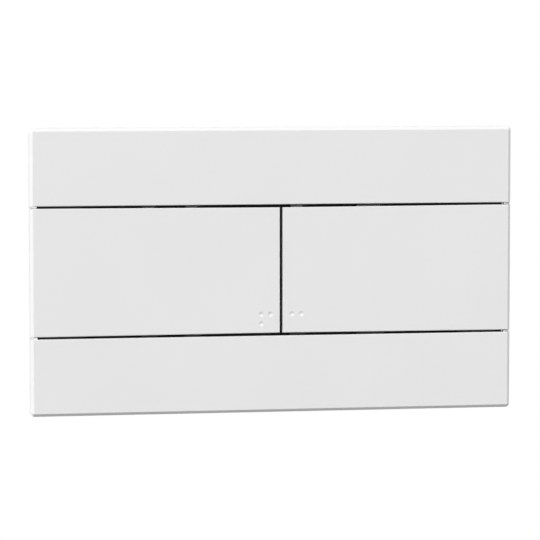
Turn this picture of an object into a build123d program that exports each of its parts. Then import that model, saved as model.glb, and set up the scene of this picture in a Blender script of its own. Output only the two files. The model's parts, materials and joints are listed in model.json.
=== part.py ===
from build123d import *
import os
from math import cos, radians, sin, tan

# Dual flush plate for a concealed cistern, in millimetres.
# X runs to the right, Y into the wall and Z up. The wall face is y = 0, the plate's centre x = z = 0.

# Plate, as seen from the front
plate_width = 250.0
plate_height = 146.5
plate_depth = 8.0
button_height = 64.4  # at the buttons' inner ends
button_taper = 0.4  # how far each long edge runs out on its way to the plate's side
split_offset = 3.9  # the full flush button, on the left, is the wider one
seam = 1.6  # above and below the buttons, at their inner ends
split_seam = 1.5  # between the two buttons
front_bevel = 1.5
bevel_softening = 0.5  # radius of the bevel's own edges
corner_extra = 0.5  # a corner's radius beyond the front bevel
seam_edge_radius = 0.4
sill_reach = 3.45  # how far in from the plate's side the seams' ends are closed
sill_land = 0.5  # flat part of a sill's front, before it slopes down to the side
sill_foot = 0.45  # from the plate's side to the end of that slope
sill_step = 0.5  # how far a sill lies behind the plate's front
sill_gap = 0.25  # from a sill to the button's edge
skin = 2.4
side_wall = 2.6
inner_corner_radius = 1.0

# Touch marks on the buttons
dot_diameter = 2.6
dot_depth = 0.45
dot_pitch = 4.9
dot_inset = 5.5  # from the seams' centre lines

# Hinges behind the outer ends of the buttons
hinge_inset = 8.0
hinge_gap = 0.6  # from a knuckle to the skin and to the wall
hinge_pin_diameter = 2.0
ear_pitch = 27.0
ear_length = 6.0
knuckle_length = 14.0
pin_overhang = 0.6
press_angle = 4.0

# Backs of the cover and the buttons
rib = 1.4
cover_rib_pitch = 31.0
cover_rib_inset = 4.0
rim_inset = 3.0
rim_depth = 2.0
spine_depth = 5.5
spine_spacing = 32.0
spine_margin = 4.0
cross_ribs = 3
full_catches = ((44.5, 6.0), (67.0, 6.0))  # inset from the button's inner edge, and width
half_catches = ((8.5, 6.0), (46.5, 12.0))
catch_inset = 0.6  # from a catch's leg to the button's long edge
catch_overlap = 1.8
catch_edge = 0.4
catch_length = 1.5
hook_spacing = 80.0
hook_width = 10.0
hook_thickness = 1.8
hook_catch = 1.4
hook_length = 4.0
hook_seat = 2.0  # depth of the edge that a hook catches on

# Mounting frame
flange_thickness = 3.4
low_flange = 1.8  # behind the outer ends of the buttons
tub_margin_side = 25.0
tub_margin_top = 22.5
tub_wall = 2.0
tub_depth = 12.0
tub_radius = 4.0
tub_edge_radius = 1.2
trough_height = 40.0
trough_floor = 3.0
trough_rib = 1.5
trough_rib_spacing = 28.0
trough_rib_inset = 6.0
gusset_reach = 9.0
gusset_pitch = 36.0
lug_lap = 1.0  # how much of a seam's width a lug fills
lug_thickness = 3.0
lug_side = 1.0  # a lug is this much wider than its catch, each side
lug_root = 2.4  # how much a lug thickens towards the tub's wall
lug_toe = 3.8  # length of its end that stays thin

# Push rods, their heads, guides, springs and stop nuts
rod_spacing = 70.0
rod_diameter = 6.0
rod_reach = 70.0
tip_diameter = 5.0
tip_length = 12.0
tip_chamfer = 0.8
nose_radius = 4.0
head_diameter = 16.0
head_thickness = 3.0
head_grips = 10
hub_diameter = 10.0
hub_length = 4.0
spring_pressed = 7.3
spring_diameter = 12.4
spring_wire = 1.0
spring_turns = 5
guide_diameter = 11.0
guide_flange = 1.6
guide_flange_diameter = 17.0
guide_spigot = 2.0
guide_tail = 8.0
guide_catch = 0.5
stop_nut_width = 10.0
stop_nut_height = 5.0
stop_nut_bevel = 0.3  # how far its chamfers reach in past the flats
chamfer_angle = 30.0

# Rubber buffers under the inner ends of the buttons
buffer_inset = 7.0
buffer_spacing = 18.0
buffer_diameter = 8.6
buffer_height = 3.4
buffer_dome = 0.8
buffer_stem = 4.0
buffer_stem_length = 5.0
post_diameter = 8.0
pad_diameter = 6.0

# Fixings
fixing_margin = 4.0  # from a thumb nut to the end of the trough
bolt_diameter = 5.0
bolt_overhang = 1.2
bolt_collar_width = 13.0
bolt_collar = 3.0
stud_diameter = 8.0
stud_reach = 65.0
slot_travel = 4.0
washer_diameter = 14.0
washer_thickness = 1.2
nut_diameter = 16.0
nut_height = 8.0
nut_flange = 2.0
nut_grips = 12
grip_depth = 0.6

# Clearances
contact_gap = 0.3  # between faces that only meet when pressed
seat_gap = 0.2  # between fixed pieces that lie against each other
flange_gap = 0.6  # round the mounting frame inside the cover
run_clearance = 0.05  # radial, on pins and rods that turn or slide
fit_clearance = 0.03  # radial, on pins, threads and stems that are held
hole_clearance = 0.3  # radial, round the fixing bolts

# Places that follow from the sizes above
half_width = plate_width / 2
half_height = plate_height / 2
front = -plate_depth
skin_back = front + skin
rail_front = skin_back + hinge_gap
rail_inner = half_width - side_wall
window_half = button_height / 2 + seam
knuckle_radius = (plate_depth - skin - 2 * hinge_gap) / 2
hinge_x = half_width - hinge_inset
hinge_y = -hinge_gap - knuckle_radius
pin_radius = hinge_pin_diameter / 2
pin_half = ear_pitch + ear_length / 2 + pin_overhang

tub_x = half_width - tub_margin_side
tub_z = half_height - tub_margin_top
low_half = window_half + rim_depth

rod_x = rod_spacing / 2
rod_radius = rod_diameter / 2
rod_travel = (hinge_x - rod_x) * sin(radians(press_angle))
head_front = hinge_y + nose_radius + contact_gap
head_back = head_front + head_thickness
guide_front = head_back + spring_pressed + rod_travel
trough_front = guide_front + guide_flange
trough_back = trough_front + trough_floor
guide_back = trough_back + guide_tail
rod_front = head_front + head_thickness / 2

fixing_x = tub_x - tub_wall - fixing_margin - nut_diameter / 2

lug_end = window_half - lug_lap
lug_back = lug_thickness - flange_thickness

# The buttons: catches, and touch marks as (column, row) from the upper left of their cell
buttons = {
    "full_flush": (full_catches, ((0, 0), (1, 0), (0, 1))),
    "half_flush": (half_catches, ((0, 0), (1, 0))),
}


def side_of(name):
    """-1 for the full flush button, on the left, and 1 for the half flush button, on the right."""
    return -1 if name == "full_flush" else 1


def inner_edge(side):
    """Where a button's inner edge lies across the plate."""
    return split_offset + side * split_seam / 2


def span(low_u, high_u, low_v, high_v):
    """Rectangle between two pairs of limits, in either order."""
    centre = Pos((low_u + high_u) / 2, (low_v + high_v) / 2)
    return centre * Rectangle(abs(high_u - low_u), abs(high_v - low_v))


def slab(outline, near, far):
    """Prism of an outline seen from the front, between two depths."""
    return extrude(Plane.XZ.offset(-near) * outline, amount=near - far)


def bar(section, start, end):
    """Prism along X of a section drawn in Y and Z."""
    return extrude(Plane.YZ.offset(start) * section, amount=end - start)


def column(section, bottom, top):
    """Prism along Z of a section drawn in X and Y."""
    return extrude(Plane.XY.offset(bottom) * section, amount=top - bottom)


def outline(*points):
    """Closed flat shape through its corner points."""
    return make_face(Polyline(*points, close=True))


def turned(*points):
    """Piece turned about the Y axis from a half section of (radius, depth) points."""
    return revolve(outline(*points), axis=Axis.Y)


def grips(radius, count, near, far):
    """Round-bottomed grooves along Y, evenly spaced round a rim of that radius."""
    groove = Circle(grip_depth * 2)
    places = PolarLocations(radius + grip_depth, count)
    return slab(Sketch() + [place * groove for place in places], near, far)


def plate_blank():
    """The whole plate as one block with a softened front bevel, which the cover and the buttons share."""
    block = slab(RectangleRounded(plate_width, plate_height, front_bevel + corner_extra), front, 0)
    block = chamfer(block.faces().sort_by(Axis.Y)[0].edges(), front_bevel)
    inner_rim, _, outer_rim, *_ = block.edges().group_by(Axis.Y)
    return fillet(inner_rim + outer_rim, bevel_softening)


def window_cutter():
    """Channel across the whole plate for the buttons, flared so that the bands' edges come out rounded."""
    channel = span(front, rail_front, -window_half, window_half)
    mouth = span(front - skin, front, -half_height, half_height)
    profile = channel + mouth
    lips = [
        v
        for v in profile.vertices()
        if abs(v.X - front) < seam_edge_radius and abs(v.Y) < (window_half + half_height) / 2
    ]
    return bar(fillet(lips, seam_edge_radius), -plate_width, plate_width)


def cover_frame():
    """White cover: shell, side rails, sills, hinge ears, ribs behind the bands and snap hooks."""
    cavity = RectangleRounded(2 * rail_inner, plate_height - 2 * side_wall, inner_corner_radius)
    cover = plate_blank() - slab(cavity, skin_back, 0) - window_cutter()

    sill_edge = button_height / 2 + button_taper + sill_gap
    for side in (-1, 1):
        sill_end = side * (half_width - sill_reach)
        sill_foot_end = side * (half_width - sill_foot)
        sill = outline(
            (sill_end, rail_front + sill_step),
            (sill_end, front + sill_step),
            (sill_end + side * sill_land, front + sill_step),
            (sill_foot_end, rail_front),
            (sill_foot_end, rail_front + sill_step),
        )
        upper = column(sill, sill_edge, window_half + seam_edge_radius)
        cover += [upper, mirror(upper, Plane.XY)]

    for side in (-1, 1):
        axis = Pos(side * hinge_x, hinge_y)
        reach = span(
            side * hinge_x,
            side * (rail_inner + side_wall / 2),
            hinge_y - knuckle_radius,
            hinge_y + knuckle_radius,
        )
        ear = axis * Circle(knuckle_radius) + reach - axis * Circle(pin_radius + fit_clearance)
        for level in (-ear_pitch, 0, ear_pitch):
            cover += column(ear, level - ear_length / 2, level + ear_length / 2)

    rib_back = -flange_thickness - seat_gap
    long_rib = window_half + cover_rib_inset
    rib_count = 2 * int(rail_inner / cover_rib_pitch)
    for side in (-1, 1):
        ribs = span(-rail_inner, rail_inner, side * long_rib, side * (long_rib + rib))
        for place in GridLocations(cover_rib_pitch, 1, rib_count, 1):
            x = place.position.X
            ribs += span(x - rib / 2, x + rib / 2, side * long_rib, side * (half_height - side_wall))
        cover += slab(ribs, skin_back, rib_back)

    hook_out = tub_z - tub_wall - contact_gap
    shoulder = hook_seat + seat_gap
    hook = outline(
        (skin_back, hook_out - hook_thickness),
        (skin_back, hook_out),
        (shoulder, hook_out),
        (shoulder, hook_out + hook_catch),
        (shoulder + hook_length, hook_out),
        (shoulder + hook_length, hook_out - hook_thickness),
    )
    for x in (-hook_spacing, 0, hook_spacing):
        upper = bar(hook, x - hook_width / 2, x + hook_width / 2)
        cover += [upper, mirror(upper, Plane.XY)]
    return cover


def button(side, catches, dots):
    """White button: skin with the plate's own outer edge, knuckles, rim, ribs, nose, pads and catches."""
    half = button_height / 2
    inner = inner_edge(side)
    far_half = half + button_taper * (plate_width - side * inner) / (half_width - side * inner)
    face = outline(
        (inner, -half), (inner, half), (side * plate_width, far_half), (side * plate_width, -far_half)
    )
    blank = slab(face, front, skin_back)
    blank = fillet(blank.faces().sort_by(Axis.Y)[0].edges(), seam_edge_radius)
    piece = plate_blank() & blank

    axis = Pos(side * hinge_x, hinge_y)
    web = span(
        side * hinge_x - knuckle_radius, side * hinge_x + knuckle_radius, skin_back, hinge_y
    )
    knuckle = axis * Circle(knuckle_radius) + web - axis * Circle(pin_radius + run_clearance)
    for level in (-ear_pitch / 2, ear_pitch / 2):
        piece += column(knuckle, level - knuckle_length / 2, level + knuckle_length / 2)

    rim_back = skin_back + rim_depth
    rim_start = inner + side * rim_inset
    rim_end = side * (hinge_x - 2 * knuckle_radius)
    rim = span(rim_start, rim_end, -half + rim_inset, half - rim_inset)
    ribs = rim - offset(rim, -rib)
    step = (rim_end - rim_start) / (cross_ribs + 1)
    for i in range(cross_ribs):
        x = rim_start + step * (i + 1)
        ribs += span(x - rib / 2, x + rib / 2, -half + rim_inset, half - rim_inset)
    piece += slab(ribs, skin_back, rim_back)

    spine_start = side * (tub_x - tub_wall - spine_margin)
    spine_back = skin_back + spine_depth
    spine = outline(
        (spine_start, skin_back),
        (spine_start, rim_back),
        (side * rod_x, spine_back),
        (rim_start, spine_back),
        (rim_start, skin_back),
    )
    for level in (-spine_spacing / 2, spine_spacing / 2):
        piece += column(spine, level - rib / 2, level + rib / 2)

    nose_side = Polyline(
        (0, hinge_y + nose_radius), (0, skin_back), (nose_radius, skin_back), (nose_radius, hinge_y)
    )
    nose = make_face(nose_side + CenterArc((0, hinge_y), nose_radius, 0, 90))
    piece += Pos(side * rod_x, 0, 0) * revolve(nose, axis=Axis.Y)

    pad = Circle(pad_diameter / 2)
    for level in (-buffer_spacing / 2, buffer_spacing / 2):
        piece += slab(Pos(inner + side * buffer_inset, level) * pad, skin_back, rim_back)

    catch_front = lug_back + contact_gap
    catch_back = catch_front + catch_length
    leg_inside = half - rim_inset - rib
    leg_outside = half - catch_inset
    catch = outline(
        (skin_back, leg_inside),
        (skin_back, leg_outside),
        (catch_front, leg_outside),
        (catch_front, lug_end + catch_overlap),
        (catch_front + catch_edge, lug_end + catch_overlap),
        (catch_back, leg_outside),
        (catch_back, leg_inside),
    )
    for inset, width in catches:
        x = inner + side * inset
        upper = bar(catch, x - width / 2, x + width / 2)
        piece += [upper, mirror(upper, Plane.XY)]

    ball_radius = (dot_diameter**2 / 4 + dot_depth**2) / (2 * dot_depth)
    first_column = split_offset + (dot_inset if side > 0 else -dot_inset - dot_pitch)
    first_row = dot_inset + dot_pitch - half - seam / 2
    for across, down in dots:
        piece -= Pos(
            first_column + across * dot_pitch,
            front + dot_depth - ball_radius,
            first_row - down * dot_pitch,
        ) * Sphere(ball_radius)
    return piece


def hinge_pin(side):
    """Steel pin with chamfered ends, held in the cover's ears."""
    pin = Cylinder(pin_radius, 2 * pin_half)
    ends = pin.edges().filter_by(GeomType.CIRCLE)
    return Pos(side * hinge_x, hinge_y, 0) * chamfer(ends, pin_radius / 4)


def buffer_top(side):
    """Depth that a button's pad reaches when it is pressed, plus the contact gap."""
    arm = abs(side * hinge_x - inner_edge(side)) - buffer_inset
    turn = radians(press_angle)
    pad = hinge_y + arm * sin(turn) + (skin_back + rim_depth - hinge_y) * cos(turn)
    return pad + contact_gap


def buffer_places(side):
    """The two places of a button's buffers, across the plate and up."""
    x = inner_edge(side) + side * buffer_inset
    return [(x, level) for level in (-buffer_spacing / 2, buffer_spacing / 2)]


def rounded_block(shape, back):
    """Block of an outline from the flange's front to a depth, with its back edges rounded."""
    block = slab(shape, -flange_thickness, back)
    return fillet(block.faces().sort_by(Axis.Y)[-1].edges(), tub_edge_radius)


def mounting_frame():
    """Black frame: flange on the wall, tub in the wall's opening, and a deeper trough that carries the rods."""
    flange = RectangleRounded(
        2 * (rail_inner - flange_gap),
        plate_height - 2 * (side_wall + flange_gap),
        inner_corner_radius,
    )
    notch_edge = hinge_x - 2 * knuckle_radius
    notch_half = pin_half + pin_overhang
    for side in (-1, 1):
        flange -= span(side * notch_edge, side * half_width, -notch_half, notch_half)
    tub = RectangleRounded(2 * tub_x, 2 * tub_z, tub_radius)
    trough = RectangleRounded(2 * tub_x, trough_height, tub_radius)
    frame = slab(flange, -flange_thickness, 0)
    frame += rounded_block(tub, tub_depth) + rounded_block(trough, trough_back)
    frame -= slab(offset(tub, -tub_wall), -flange_thickness, tub_depth - tub_wall)
    frame -= slab(offset(trough, -tub_wall), -flange_thickness, trough_front)
    frame -= slab(Rectangle(plate_width, 2 * low_half), -flange_thickness, -low_flange)

    gusset = outline(
        (tub_depth, trough_height / 2 - tub_wall / 2),
        (tub_depth, trough_height / 2 + gusset_reach),
        (trough_back - tub_edge_radius, trough_height / 2),
        (trough_back - tub_edge_radius, trough_height / 2 - tub_wall / 2),
    )
    rib_half = tub_x - trough_rib_inset
    ribs = Sketch()
    for level in (-trough_rib_spacing / 2, trough_rib_spacing / 2):
        ribs += span(-rib_half, rib_half, level - rib / 2, level + rib / 2)
    for place in GridLocations(gusset_pitch, 1, 2 * int(tub_x / gusset_pitch), 1):
        x = place.position.X
        ribs += span(x - rib / 2, x + rib / 2, -trough_rib_spacing / 2, trough_rib_spacing / 2)
        upper = bar(gusset, x - rib / 2, x + rib / 2)
        frame += [upper, mirror(upper, Plane.XY)]
    frame += slab(ribs, trough_back, trough_back + trough_rib)

    lug = outline(
        (-flange_thickness, lug_end),
        (-flange_thickness, tub_z - tub_wall / 2),
        (lug_back + lug_root, tub_z - tub_wall / 2),
        (lug_back, lug_end + lug_toe),
        (lug_back, lug_end),
    )
    for name, (catches, _) in buttons.items():
        side = side_of(name)
        for inset, width in catches:
            x = inner_edge(side) + side * inset
            upper = bar(lug, x - width / 2 - lug_side, x + width / 2 + lug_side)
            frame += [upper, mirror(upper, Plane.XY)]

    hook_slot = span(hook_seat, hook_seat + hook_length + 2 * seat_gap, -half_height, half_height)
    for x in (-hook_spacing, 0, hook_spacing):
        frame -= bar(hook_slot, x - hook_width / 2 - seat_gap, x + hook_width / 2 + seat_gap)

    slot_width = bolt_diameter + 2 * hole_clearance
    fixing_slot = Rot(0, 0, 90) * SlotOverall(slot_width + slot_travel, slot_width)
    guide_hole = Circle(guide_diameter / 2 + seat_gap / 2)
    holes = Sketch()
    for side in (-1, 1):
        holes += Pos(side * fixing_x, 0) * fixing_slot
        holes += Pos(side * rod_x, 0) * guide_hole
    frame -= slab(holes, trough_front, trough_back)

    post = Circle(post_diameter / 2)
    bore = Circle(buffer_stem / 2 + fit_clearance)
    for side in (-1, 1):
        post_top = buffer_top(side) + buffer_height
        for x, z in buffer_places(side):
            frame += slab(Pos(x, z) * post, post_top, trough_front)
            frame -= slab(Pos(x, z) * bore, post_top, post_top + buffer_stem_length + seat_gap)
    return frame


def buffer_pair(side):
    """Two rubber buffers with domed caps and stems, each in its post."""
    top = buffer_top(side)
    cap = buffer_diameter / 2
    stem = buffer_stem / 2
    seat = top + buffer_height
    profile = Polyline(
        (cap, top + buffer_dome),
        (cap, seat),
        (stem, seat),
        (stem, seat + buffer_stem_length),
        (0, seat + buffer_stem_length),
        (0, top),
    )
    dome = ThreePointArc((0, top), (cap * 0.6, top + buffer_dome * 0.36), (cap, top + buffer_dome))
    rubber = revolve(make_face(profile + dome), axis=Axis.Y)
    return Compound([Pos(x, 0, z) * rubber for x, z in buffer_places(side)])


def push_rod(side):
    """Rod with a plain tip, which reaches back to the flush valve."""
    tip = tip_diameter / 2
    shoulder = rod_reach - tip_length
    rod = turned(
        (0, rod_front),
        (rod_radius, rod_front),
        (rod_radius, shoulder),
        (tip, shoulder),
        (tip, rod_reach - tip_chamfer),
        (tip - tip_chamfer, rod_reach),
        (0, rod_reach),
    )
    return Pos(side * rod_x, 0, 0) * rod


def rod_head(side):
    """Thumb wheel screwed on the rod's front end, under the button's nose."""
    rim = head_diameter / 2
    bore = rod_radius + fit_clearance
    head = turned(
        (0, head_front),
        (rim, head_front),
        (rim, head_back),
        (hub_diameter / 2, head_back),
        (hub_diameter / 2, head_back + hub_length),
        (bore, head_back + hub_length),
        (bore, rod_front - fit_clearance),
        (0, rod_front - fit_clearance),
    )
    return Pos(side * rod_x, 0, 0) * (head - grips(rim, head_grips, head_front, head_back))


def rod_guide(side):
    """Flanged bush snapped into the trough, with a spigot that centres the spring."""
    bore = rod_radius + run_clearance
    barrel = guide_diameter / 2
    spigot = (spring_diameter - spring_wire) / 2 - contact_gap
    flange = guide_flange_diameter / 2
    guide = turned(
        (bore, guide_front - guide_spigot),
        (spigot, guide_front - guide_spigot),
        (spigot, guide_front),
        (flange, guide_front),
        (flange, trough_front),
        (barrel, trough_front),
        (barrel, trough_back + seat_gap),
        (barrel + guide_catch, trough_back + seat_gap),
        (barrel, trough_back + guide_tail / 2),
        (barrel, guide_back),
        (bore, guide_back),
    )
    return Pos(side * rod_x, 0, 0) * guide


def return_spring(side):
    """Coil spring between the rod's head and its guide, at its length with the button at rest."""
    margin = spring_wire / 2 + fit_clearance
    length = guide_front - head_back - 2 * margin
    coil = Helix(
        pitch=length / spring_turns,
        height=length,
        radius=spring_diameter / 2,
        center=(side * rod_x, head_back + margin, 0),
        direction=(0, 1, 0),
    )
    wire = Plane(origin=coil @ 0, z_dir=coil % 0) * RegularPolygon(spring_wire / 2, 6)
    return sweep(wire, path=coil, is_frenet=True)


def stop_nut(side):
    """Hexagon nut with chamfered corners behind the guide, which stops the rod on its way out."""
    flat = stop_nut_width / 2
    corner = flat / cos(radians(30))
    face = flat - stop_nut_bevel
    rise = (corner - face) * tan(radians(chamfer_angle))
    nut_front = guide_back + contact_gap
    nut_back = nut_front + stop_nut_height
    crown = turned(
        (0, nut_front),
        (face, nut_front),
        (corner, nut_front + rise),
        (corner, nut_back - rise),
        (face, nut_back),
        (0, nut_back),
    )
    section = RegularPolygon(flat, 6, major_radius=False) - Circle(rod_radius + fit_clearance)
    return Pos(side * rod_x, 0, 0) * (slab(section, nut_front, nut_back) & crown)


def fixing_bolt(side):
    """Spacer bolt: stud for the cistern's frame, hexagon collar, and a thinner thread for the thumb nut."""
    thread = bolt_diameter / 2
    stud = stud_diameter / 2
    collar_back = trough_back + bolt_collar
    nut_front = trough_front - washer_thickness - nut_height
    shank = turned(
        (0, nut_front - bolt_overhang),
        (thread, nut_front - bolt_overhang),
        (thread, trough_back),
        (stud, trough_back),
        (stud, stud_reach - tip_chamfer),
        (stud - tip_chamfer, stud_reach),
        (0, stud_reach),
    )
    collar = RegularPolygon(bolt_collar_width / 2, 6, major_radius=False)
    return Pos(side * fixing_x, 0, 0) * (shank + slab(collar, trough_back, collar_back))


def thumb_nut(side):
    """Nut with a grooved grip and a flange, turned by hand."""
    bore = bolt_diameter / 2 + fit_clearance
    rim = nut_diameter / 2
    grip = rim - grip_depth
    back = trough_front - washer_thickness
    nut = turned(
        (bore, back - nut_height),
        (grip - grip_depth, back - nut_height),
        (grip, back - nut_height + grip_depth),
        (grip, back - nut_flange),
        (rim, back - nut_flange),
        (rim, back),
        (bore, back),
    )
    return Pos(side * fixing_x, 0, 0) * (
        nut - grips(grip, nut_grips, back - nut_height, back - nut_flange)
    )


def washer(side):
    """Plain washer between the thumb nut and the trough."""
    ring = Circle(washer_diameter / 2) - Circle(bolt_diameter / 2 + hole_clearance)
    return slab(Pos(side * fixing_x, 0) * ring, trough_front - washer_thickness, trough_front)


nodes = {"cover_frame": cover_frame(), "mounting_frame": mounting_frame()}
for name, (catches, dots) in buttons.items():
    side = side_of(name)
    nodes[f"{name}_button"] = button(side, catches, dots)
    nodes[f"{name}_hinge_pin"] = hinge_pin(side)
    nodes[f"{name}_push_rod"] = push_rod(side)
    nodes[f"{name}_rod_head"] = rod_head(side)
    nodes[f"{name}_rod_guide"] = rod_guide(side)
    nodes[f"{name}_return_spring"] = return_spring(side)
    nodes[f"{name}_stop_nut"] = stop_nut(side)
    nodes[f"{name}_buffers"] = buffer_pair(side)
nodes["fixing_bolts"] = Compound([fixing_bolt(-1), fixing_bolt(1)])
nodes["thumb_nuts"] = Compound([thumb_nut(-1), thumb_nut(1)])
nodes["washers"] = Compound([washer(-1), washer(1)])

os.makedirs("parts", exist_ok=True)
for name, piece in nodes.items():
    export_step(piece, f"parts/{name}.step")
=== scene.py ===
import json
from math import cos, radians, sin

import bmesh
import bpy
import numpy as np
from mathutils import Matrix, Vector


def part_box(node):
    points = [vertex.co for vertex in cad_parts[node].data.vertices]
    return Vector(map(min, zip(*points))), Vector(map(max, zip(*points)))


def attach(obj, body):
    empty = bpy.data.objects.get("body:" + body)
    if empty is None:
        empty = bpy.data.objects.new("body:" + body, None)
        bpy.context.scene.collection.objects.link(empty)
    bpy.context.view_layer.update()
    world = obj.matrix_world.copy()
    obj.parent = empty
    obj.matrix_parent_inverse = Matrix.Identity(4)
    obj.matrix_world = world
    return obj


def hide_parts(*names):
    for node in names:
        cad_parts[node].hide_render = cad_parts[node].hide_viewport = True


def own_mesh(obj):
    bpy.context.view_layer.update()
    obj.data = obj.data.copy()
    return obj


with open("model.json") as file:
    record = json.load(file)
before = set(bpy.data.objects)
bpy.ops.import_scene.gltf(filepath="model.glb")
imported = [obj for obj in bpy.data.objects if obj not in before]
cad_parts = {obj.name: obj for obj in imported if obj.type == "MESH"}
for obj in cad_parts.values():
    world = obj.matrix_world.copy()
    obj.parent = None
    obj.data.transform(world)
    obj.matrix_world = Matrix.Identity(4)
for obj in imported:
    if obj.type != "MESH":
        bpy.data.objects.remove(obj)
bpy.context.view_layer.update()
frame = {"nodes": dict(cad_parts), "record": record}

nodes = frame["nodes"]

# Mounting frame: the black tray that is screwed to the cistern's frame and lies on the wall.
# It is injection moulded in black polypropylene, with a fine spark-eroded grain on every face.


def new_material(name):
    """New material with its node tree, Principled shader and the Object coordinates that patterns read."""
    material = bpy.data.materials.new(name)
    material.use_nodes = True
    tree = material.node_tree
    shader = tree.nodes["Principled BSDF"]
    coordinates = tree.nodes.new("ShaderNodeTexCoord").outputs["Object"]
    return material, tree, shader, coordinates


def noise(tree, coordinates, size, detail=2.0, stretch=(1.0, 1.0, 1.0)):
    """Noise whose features are about that size in metres, drawn out along an axis by its stretch."""
    mapping = tree.nodes.new("ShaderNodeMapping")
    mapping.inputs["Scale"].default_value = tuple(1.0 / (size * s) for s in stretch)
    texture = tree.nodes.new("ShaderNodeTexNoise")
    texture.inputs["Scale"].default_value = 1.0
    texture.inputs["Detail"].default_value = detail
    tree.links.new(coordinates, mapping.inputs["Vector"])
    tree.links.new(mapping.outputs["Vector"], texture.inputs["Vector"])
    return texture.outputs["Fac"]


def spread(tree, value, low, high):
    """The range that holds most of a noise's values, mapped to run from low to high."""
    usual_low, usual_high = 0.3, 0.7
    node = tree.nodes.new("ShaderNodeMapRange")
    node.inputs["From Min"].default_value = usual_low
    node.inputs["From Max"].default_value = usual_high
    node.inputs["To Min"].default_value = low
    node.inputs["To Max"].default_value = high
    tree.links.new(value, node.inputs["Value"])
    return node.outputs["Result"]


def between(tree, value, first, second):
    """Colour that goes from the first to the second as a noise passes through the middle of its range."""
    node = tree.nodes.new("ShaderNodeMix")
    node.data_type = "RGBA"
    node.inputs["A"].default_value = (*first, 1.0)
    node.inputs["B"].default_value = (*second, 1.0)
    tree.links.new(spread(tree, value, 0.0, 1.0), node.inputs["Factor"])
    return node.outputs["Result"]


def relief(tree, value, height, strength):
    """Bump of that height in metres from a noise."""
    node = tree.nodes.new("ShaderNodeBump")
    node.inputs["Strength"].default_value = strength
    node.inputs["Distance"].default_value = height
    tree.links.new(value, node.inputs["Height"])
    return node.outputs["Normal"]


def moulded_plastic(name, colours, flow, roughness, grain, grain_height, strength=1.0):
    """Plastic whose colour drifts between two tones over the flow length, with a moulded grain."""
    material, tree, shader, coordinates = new_material(name)
    drift = noise(tree, coordinates, flow, detail=3.0)
    fine = noise(tree, coordinates, grain)
    tree.links.new(between(tree, drift, *colours), shader.inputs["Base Color"])
    tree.links.new(spread(tree, fine, *roughness), shader.inputs["Roughness"])
    tree.links.new(relief(tree, fine, grain_height, strength), shader.inputs["Normal"])
    return material


def dress(name, material):
    """A carried CAD node takes this material on its whole mesh."""
    mesh = nodes[name].data
    mesh.materials.clear()
    mesh.materials.append(material)


black_plastic = moulded_plastic(
    "black_plastic",
    colours=((0.016, 0.016, 0.017), (0.024, 0.024, 0.026)),
    flow=0.03,
    roughness=(0.42, 0.58),
    grain=0.0006,
    grain_height=0.00004,
)
dress("mounting_frame", black_plastic)

# Fixings: two spacer bolts into the cistern's frame, with a washer and a thumb nut on each.
# The bolts and washers are zinc plated steel, and the nuts are moulded in blue nylon with a grooved grip.


def zinc_plate(name, colours, patch, roughness, grain, grain_height):
    """Zinc plating whose tone and gloss change from patch to patch, with a faint grain."""
    material, tree, shader, coordinates = new_material(name)
    patches = noise(tree, coordinates, patch, detail=4.0)
    fine = noise(tree, coordinates, grain)
    tree.links.new(between(tree, patches, *colours), shader.inputs["Base Color"])
    tree.links.new(spread(tree, patches, *roughness), shader.inputs["Roughness"])
    tree.links.new(relief(tree, fine, grain_height, strength=0.5), shader.inputs["Normal"])
    shader.inputs["Metallic"].default_value = 1.0
    return material


def smooth_step(value, low, high):
    """0 below low, 1 above high, and a smooth cubic between them."""
    share = np.clip((value - low) / (high - low), 0.0, 1.0)
    return share * share * (3.0 - 2.0 * share)


def one_turn(around):
    """Shares of a turn, evenly spaced round a ring, as one row."""
    return np.linspace(0.0, 1.0, around, endpoint=False)[None, :]


def thread_rings(radius, cut, pitch, start, end, around, per_turn, run_out):
    """Rings of (turn, depth, radius) for a screw thread between two depths.

    The radius is the outer one less a flattened V groove, whose phase is the depth over the pitch less
    the turn. From the middle of its flat crest the groove deepens with the phase at the flank's slope,
    down to the full cut at its flat root, and it fades out over the run-out length at both ends.
    """
    flank, crest = 2.6, 0.15
    rows = int((end - start) / pitch * per_turn)
    along = np.linspace(start, end, rows)[:, None]
    turn = one_turn(around)
    phase = along / pitch - turn
    groove = np.clip(flank * np.abs(phase - np.round(phase)) - crest, 0.0, 1.0)
    fade = smooth_step(along, start, start + run_out) * smooth_step(-along, -end, -end + run_out)
    return np.broadcast_arrays(turn, along, radius - cut * groove * fade)


def turned_rings(profile, around):
    """Rings of (turn, depth, radius) for a turned shape, one for each (depth, radius) of its profile."""
    points = np.array(profile)
    turn = one_turn(around)
    return np.broadcast_arrays(turn, points[:, :1], points[:, 1:])


def collar_rings(width, start, end, chamfer, around):
    """Rings of (turn, depth, radius) for a hexagon collar with turned corners.

    The radius is the hexagon's, half the width over the cosine of the angle from the middle of a flat,
    or the radius of the chamfering cone where that is less. At each end face the cone is a little narrower
    than the flats, and it widens along the chamfer.
    """
    sides, cone_start, cone_growth = 6, 0.95, 0.3
    turn = one_turn(around)
    from_flat = (sides * turn + 0.5) % 1.0 - 0.5
    flat = width / 2 / np.cos(from_flat * 2.0 * np.pi / sides)
    along = np.array((start, start + chamfer / 2, start + chamfer, end - chamfer, end - chamfer / 2, end))
    cone = width / 2 * (cone_start + cone_growth * np.minimum(along - start, end - along) / chamfer)
    return np.broadcast_arrays(turn, along[:, None], np.minimum(flat, cone[:, None]))


def place_rings(x, *groups):
    """Points of rings about the line through x along Y: the radius turned round it, at each depth."""
    turn, along, radius = (np.concatenate(values) for values in zip(*groups))
    angle = 2.0 * np.pi * turn
    return np.stack((x + radius * np.cos(angle), along, radius * np.sin(angle)), axis=-1)


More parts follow.
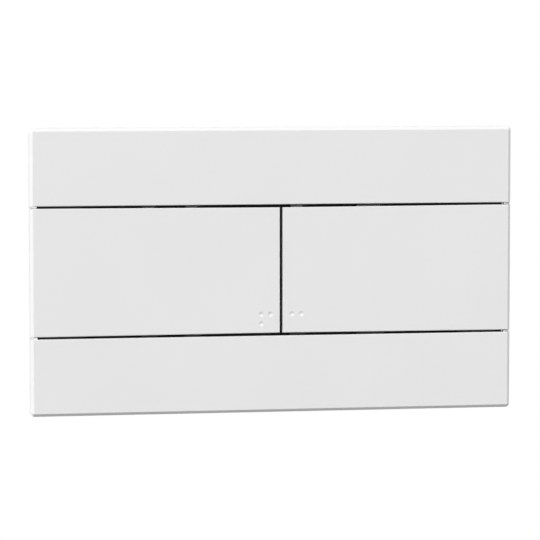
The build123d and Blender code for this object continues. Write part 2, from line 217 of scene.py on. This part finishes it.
def skin_over(name, rings, material, body, node):
    """Piece made of a closed skin over rings of points, which rides on a body and stands for a CAD node.

    Quads join each ring to the next, and a fan about the ring's mean point closes each end.
    """
    rows, around = rings.shape[:2]
    index = np.arange(rows * around).reshape(rows, around)
    ahead = np.roll(index, -1, axis=1)
    sides = np.stack((index[:-1], ahead[:-1], ahead[1:], index[1:]), axis=-1).reshape(-1, 4)
    first, last = rows * around, rows * around + 1
    near = np.stack((ahead[0], index[0], np.full(around, first)), axis=-1)
    far = np.stack((index[-1], ahead[-1], np.full(around, last)), axis=-1)
    points = np.concatenate((rings.reshape(-1, 3), rings[:1].mean(axis=1), rings[-1:].mean(axis=1)))
    mesh = bpy.data.meshes.new(name)
    mesh.from_pydata(points.tolist(), [], sides.tolist() + near.tolist() + far.tolist())
    shell = bmesh.new()
    shell.from_mesh(mesh)
    bmesh.ops.recalc_face_normals(shell, faces=shell.faces)
    shell.to_mesh(mesh)
    shell.free()
    mesh.shade_smooth()
    sharp_edge = radians(35)
    mesh.set_sharp_from_angle(angle=sharp_edge)
    mesh.materials.append(material)
    piece = bpy.data.objects.new(name, mesh)
    bpy.context.scene.collection.objects.link(piece)
    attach(piece, body)
    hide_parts(node)
    return piece


zinc_steel = zinc_plate(
    "zinc_steel",
    colours=((0.38, 0.39, 0.41), (0.45, 0.46, 0.48)),
    patch=0.004,
    roughness=(0.24, 0.34),
    grain=0.00033,
    grain_height=0.00002,
)
grip_nylon = moulded_plastic(
    "grip_nylon",
    colours=((0.030, 0.115, 0.30), (0.045, 0.145, 0.36)),
    flow=0.006,
    roughness=(0.36, 0.50),
    grain=0.0006,
    grain_height=0.00002,
)
dress("thumb_nuts", grip_nylon)
dress("washers", zinc_steel)

studs = next(m for m in frame["record"]["mounts"] if m["name"] == "fixing_studs")
millimetre = 0.001
stud_x = studs["dims"]["spacing_x_mm"] / 2 * millimetre
stud_radius = studs["dims"]["stud_r_mm"] * millimetre
bolt_radius, collar_width, collar_length, collar_chamfer = 0.0025, 0.013, 0.003, 0.0008
stud_chamfer, trough_floor, bolt_sides = 0.0008, 0.003, 96
low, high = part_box("fixing_bolts")
collar_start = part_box("washers")[1].y + trough_floor
collar_end = collar_start + collar_length
thin_thread = dict(cut=0.00042, pitch=0.0008, around=bolt_sides, per_turn=8, run_out=0.0008)
stud_thread = dict(cut=0.00065, pitch=0.00125, around=bolt_sides, per_turn=10, run_out=0.0012)
for side, x in (("left", -stud_x), ("right", stud_x)):
    rings = place_rings(
        x,
        thread_rings(bolt_radius, start=low.y, end=collar_start, **thin_thread),
        collar_rings(collar_width, collar_start, collar_end, collar_chamfer, bolt_sides),
        thread_rings(stud_radius, start=collar_end, end=high.y - stud_chamfer, **stud_thread),
        turned_rings(((high.y, stud_radius - stud_chamfer),), bolt_sides),
    )
    skin_over(f"{side}_spacer_bolt", rings, zinc_steel, "plate", "fixing_bolts")

# Rod guides: the flanged bushes that the push rods slide in, with a spigot that centres the spring.
# They are moulded in grey acetal and snapped into the mounting frame's trough.

guide_plastic = moulded_plastic(
    "guide_plastic",
    colours=((0.20, 0.22, 0.25), (0.25, 0.27, 0.30)),
    flow=0.01,
    roughness=(0.34, 0.48),
    grain=0.0007,
    grain_height=0.00002,
)
buttons = ("full", "half")
for button in buttons:
    dress(f"{button}_flush_rod_guide", guide_plastic)

# Return springs: one round each rod, between its head and its guide.
# They are coiled from bright spring wire, with closed ends ground flat.


def drawn_steel(name, colours, roughness, line, line_depth, stretch):
    """Bright steel with fine lines, drawn out along each axis by its stretch, in tone, gloss and relief."""
    material, tree, shader, coordinates = new_material(name)
    lines = noise(tree, coordinates, line, detail=3.0, stretch=stretch)
    tree.links.new(between(tree, lines, *colours), shader.inputs["Base Color"])
    tree.links.new(spread(tree, lines, *roughness), shader.inputs["Roughness"])
    tree.links.new(relief(tree, lines, line_depth, strength=0.4), shader.inputs["Normal"])
    shader.inputs["Metallic"].default_value = 1.0
    return material


def spring_rings(x, inner, outer, start, end, turns, around, per_turn):
    """Rings of points round a coil spring's wire along Y.

    The wire's centre goes round a circle while its depth grows by one wire per turn in the closed end
    turns and evenly in between. The end coils are ground flat at the two end depths, by a share of the wire.
    """
    closed_until, open_from, ground = 0.6, 1.1, 0.25
    wire = outer - inner
    mean = (outer + inner) / 2
    turn = np.linspace(0.0, turns, int(turns * per_turn))
    opened = smooth_step(turn, closed_until, open_from)
    closed = 1.0 - opened * smooth_step(turns - turn, closed_until, open_from)
    opening = np.cumsum(1.0 - closed)
    lift = np.cumsum(closed) * wire / per_turn
    edge = wire * (0.5 - ground)
    room = (end - start) - 2.0 * edge - lift[-1]
    depth = start + edge + lift + room * opening / opening[-1]
    angle = 2.0 * np.pi * turn
    out = np.stack((np.cos(angle), np.zeros_like(angle), np.sin(angle)), axis=-1)
    centre = mean * out + np.stack((np.full_like(angle, x), depth, np.zeros_like(angle)), axis=-1)
    forward = np.gradient(centre, axis=0)
    forward /= np.linalg.norm(forward, axis=1, keepdims=True)
    side = np.cross(forward, out)
    section = 2.0 * np.pi * one_turn(around)[..., None]
    rings = centre[:, None] + wire / 2 * (np.cos(section) * out[:, None] + np.sin(section) * side[:, None])
    rings[..., 1] = np.clip(rings[..., 1], start, end)
    return rings


spring_steel = drawn_steel(
    "spring_steel",
    colours=((0.46, 0.46, 0.47), (0.60, 0.60, 0.61)),
    roughness=(0.24, 0.38),
    line=0.0002,
    line_depth=0.00001,
    stretch=(8.0, 1.0, 8.0),
)
spring_wire, spring_turns = 0.001, 6.5
for button in buttons:
    low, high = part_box(f"{button}_flush_return_spring")
    centre_x, outer = (low.x + high.x) / 2, (high.z - low.z) / 2
    rings = spring_rings(
        centre_x,
        inner=outer - spring_wire,
        outer=outer,
        start=low.y,
        end=high.y,
        turns=spring_turns,
        around=12,
        per_turn=40,
    )
    spring = skin_over(
        f"{button}_flush_coil",
        rings,
        spring_steel,
        "plate",
        f"{button}_flush_return_spring",
    )
    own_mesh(spring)

# Push rods: threaded rods that carry each button's stroke back to the flush valve.
# They are moulded in natural acetal, with a coarse rounded thread for setting their length and a plain tip.

rod_plastic = moulded_plastic(
    "rod_plastic",
    colours=((0.70, 0.70, 0.66), (0.77, 0.77, 0.74)),
    flow=0.012,
    roughness=(0.30, 0.44),
    grain=0.0008,
    grain_height=0.00001,
)
rod_thread = dict(cut=0.00045, pitch=0.0015, around=48, per_turn=10, run_out=0.0015)
tip_radius, tip_length, tip_chamfer = 0.0025, 0.012, 0.0008
for button in buttons:
    low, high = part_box(f"{button}_flush_push_rod")
    radius = (high.x - low.x) / 2
    shoulder = high.y - tip_length
    thread = thread_rings(radius, start=low.y, end=shoulder, **rod_thread)
    tip = turned_rings(
        (
            (shoulder, tip_radius),
            (high.y - tip_chamfer, tip_radius),
            (high.y, tip_radius - tip_chamfer),
        ),
        rod_thread["around"],
    )
    skin_over(
        f"{button}_flush_threaded_rod",
        place_rings((low.x + high.x) / 2, thread, tip),
        rod_plastic,
        f"{button}_rod",
        f"{button}_flush_push_rod",
    )

# Rod heads and stop nuts: the thumb wheel on the front of each rod, and the nut behind its guide.
# They are moulded in the same grey acetal as the guides, and are screwed on the rod.

for button in buttons:
    for piece in ("rod_head", "stop_nut"):
        dress(f"{button}_flush_{piece}", guide_plastic)

# Buffers: soft stops on posts in the trough, under the inner ends of the buttons.
# They are moulded in black rubber, with stems that are pressed into the posts.

buffer_rubber = moulded_plastic(
    "buffer_rubber",
    colours=((0.022, 0.022, 0.022), (0.036, 0.035, 0.034)),
    flow=0.004,
    roughness=(0.62, 0.80),
    grain=0.0003,
    grain_height=0.00003,
)
for button in buttons:
    dress(f"{button}_flush_buffers", buffer_rubber)

# Cover and buttons: the white face of the plate, snapped over the mounting frame.
# They are moulded in one white plastic from polished tools, so the faces are smooth with a soft gloss.

white_plastic = moulded_plastic(
    "white_plastic",
    colours=((0.792, 0.792, 0.790), (0.808, 0.808, 0.808)),
    flow=0.06,
    roughness=(0.44, 0.52),
    grain=0.0016,
    grain_height=0.000004,
    strength=0.5,
)
for name in ("cover_frame", "full_flush_button", "half_flush_button"):
    dress(name, white_plastic)

# Hinge pins: plain steel pins, one in the cover's ears at each end of the plate.
# They are cut from bright drawn wire, with fine die lines along their length and chamfered ends.

pin_steel = drawn_steel(
    "pin_steel",
    colours=((0.56, 0.56, 0.57), (0.68, 0.68, 0.69)),
    roughness=(0.22, 0.36),
    line=0.00015,
    line_depth=0.0000075,
    stretch=(1.0, 1.0, 60.0),
)
for name in ("full_flush_hinge_pin", "half_flush_hinge_pin"):
    dress(name, pin_steel)

# Stage: a pale floor well below the plate and a white surround, with two soft lamps.
# The key lamp, above and a little to the left, lights the top edge and shades the touch marks from above.
# The side lamp, to the left and a little behind the face, lights the left edge. The floor sends little back.

scene = bpy.context.scene
scene.view_settings.view_transform = "Standard"


def seen_directly(tree):
    """1 for rays from the camera and for those that reflections and clear pieces send on, else 0."""
    path = tree.nodes.new("ShaderNodeLightPath")
    seen = path.outputs["Is Camera Ray"]
    for kind in ("Is Glossy Ray", "Is Transmission Ray"):
        either = tree.nodes.new("ShaderNodeMath")
        either.operation = "MAXIMUM"
        tree.links.new(seen, either.inputs[0])
        tree.links.new(path.outputs[kind], either.inputs[1])
        seen = either.outputs[0]
    return seen


world = bpy.data.worlds.new("surround")
world.use_nodes = True
scene.world = world
background = world.node_tree.nodes["Background"]
background.inputs["Color"].default_value = (1.0, 1.0, 1.0, 1.0)
surround_light = 0.51
level = world.node_tree.nodes.new("ShaderNodeMapRange")
level.inputs["To Min"].default_value = surround_light
world.node_tree.links.new(seen_directly(world.node_tree), level.inputs["Value"])
world.node_tree.links.new(level.outputs["Result"], background.inputs["Strength"])

floor_level, floor_half = -1.8, 7.0
floor_mesh = bpy.data.meshes.new("floor")
corner_signs = [(-1, -1), (1, -1), (1, 1), (-1, 1)]
floor_corners = [(x * floor_half, y * floor_half, floor_level) for x, y in corner_signs]
floor_mesh.from_pydata(floor_corners, [], [(0, 1, 2, 3)])
floor = bpy.data.objects.new("floor", floor_mesh)
scene.collection.objects.link(floor)

floor_paint = bpy.data.materials.new("floor_paint")
floor_paint.use_nodes = True
floor_mesh.materials.append(floor_paint)
floor_tree = floor_paint.node_tree
floor_shader = floor_tree.nodes["Principled BSDF"]
floor_shader.inputs["Roughness"].default_value = 1.0
floor_shader.inputs["Specular IOR Level"].default_value = 0.0
floor_shader.inputs["Emission Color"].default_value = (1.0, 1.0, 1.0, 1.0)
floor_glow, floor_seen, floor_bounce = 0.4, (0.85, 0.85, 0.85, 1.0), (0.13, 0.13, 0.13, 1.0)
direct = seen_directly(floor_tree)
glow = floor_tree.nodes.new("ShaderNodeMath")
glow.operation = "MULTIPLY"
glow.inputs[1].default_value = floor_glow
floor_tree.links.new(direct, glow.inputs[0])
floor_tree.links.new(glow.outputs[0], floor_shader.inputs["Emission Strength"])
tint = floor_tree.nodes.new("ShaderNodeMix")
tint.data_type = "RGBA"
tint.inputs["A"].default_value = floor_bounce
tint.inputs["B"].default_value = floor_seen
floor_tree.links.new(direct, tint.inputs["Factor"])
floor_tree.links.new(tint.outputs["Result"], floor_shader.inputs["Base Color"])


def soft_lamp(name, turn, rise, distance, size, power):
    """Round lamp that faces the plate, turned to the left of its front and raised by two angles."""
    toward = Vector((-sin(turn) * cos(rise), -cos(turn) * cos(rise), sin(rise)))
    data = bpy.data.lights.new(name, "AREA")
    data.shape = "DISK"
    data.size = size
    data.energy = power
    lamp = bpy.data.objects.new(name, data)
    lamp.location = toward * distance
    lamp.rotation_euler = (-toward).to_track_quat("-Z", "Y").to_euler()
    scene.collection.objects.link(lamp)


soft_lamp("key_lamp", turn=radians(18), rise=radians(37), distance=12.0, size=20.0, power=1790.0)
soft_lamp("side_lamp", turn=radians(103), rise=radians(6), distance=12.0, size=3.0, power=577.0)

# Camera: a long lens in front of the plate, a little to its left and above it, as in the photograph.
# Its place, turn and tilt put the corners of the flat front within about two pixels of the photograph's.

camera_place = (-0.2651, -1.508, 0.1153)
camera_turn, camera_tilt = radians(9.948), radians(-4.324)
camera_lens, sensor_width = 198.6, 36.0
camera_data = bpy.data.cameras.new("camera")
camera_data.lens = camera_lens
camera_data.sensor_width = sensor_width
camera = bpy.data.objects.new("camera", camera_data)
camera.location = camera_place
ahead = Vector((sin(camera_turn) * cos(camera_tilt), cos(camera_turn) * cos(camera_tilt), sin(camera_tilt)))
camera.rotation_euler = ahead.to_track_quat("-Z", "Y").to_euler()
scene.collection.objects.link(camera)
scene.camera = camera
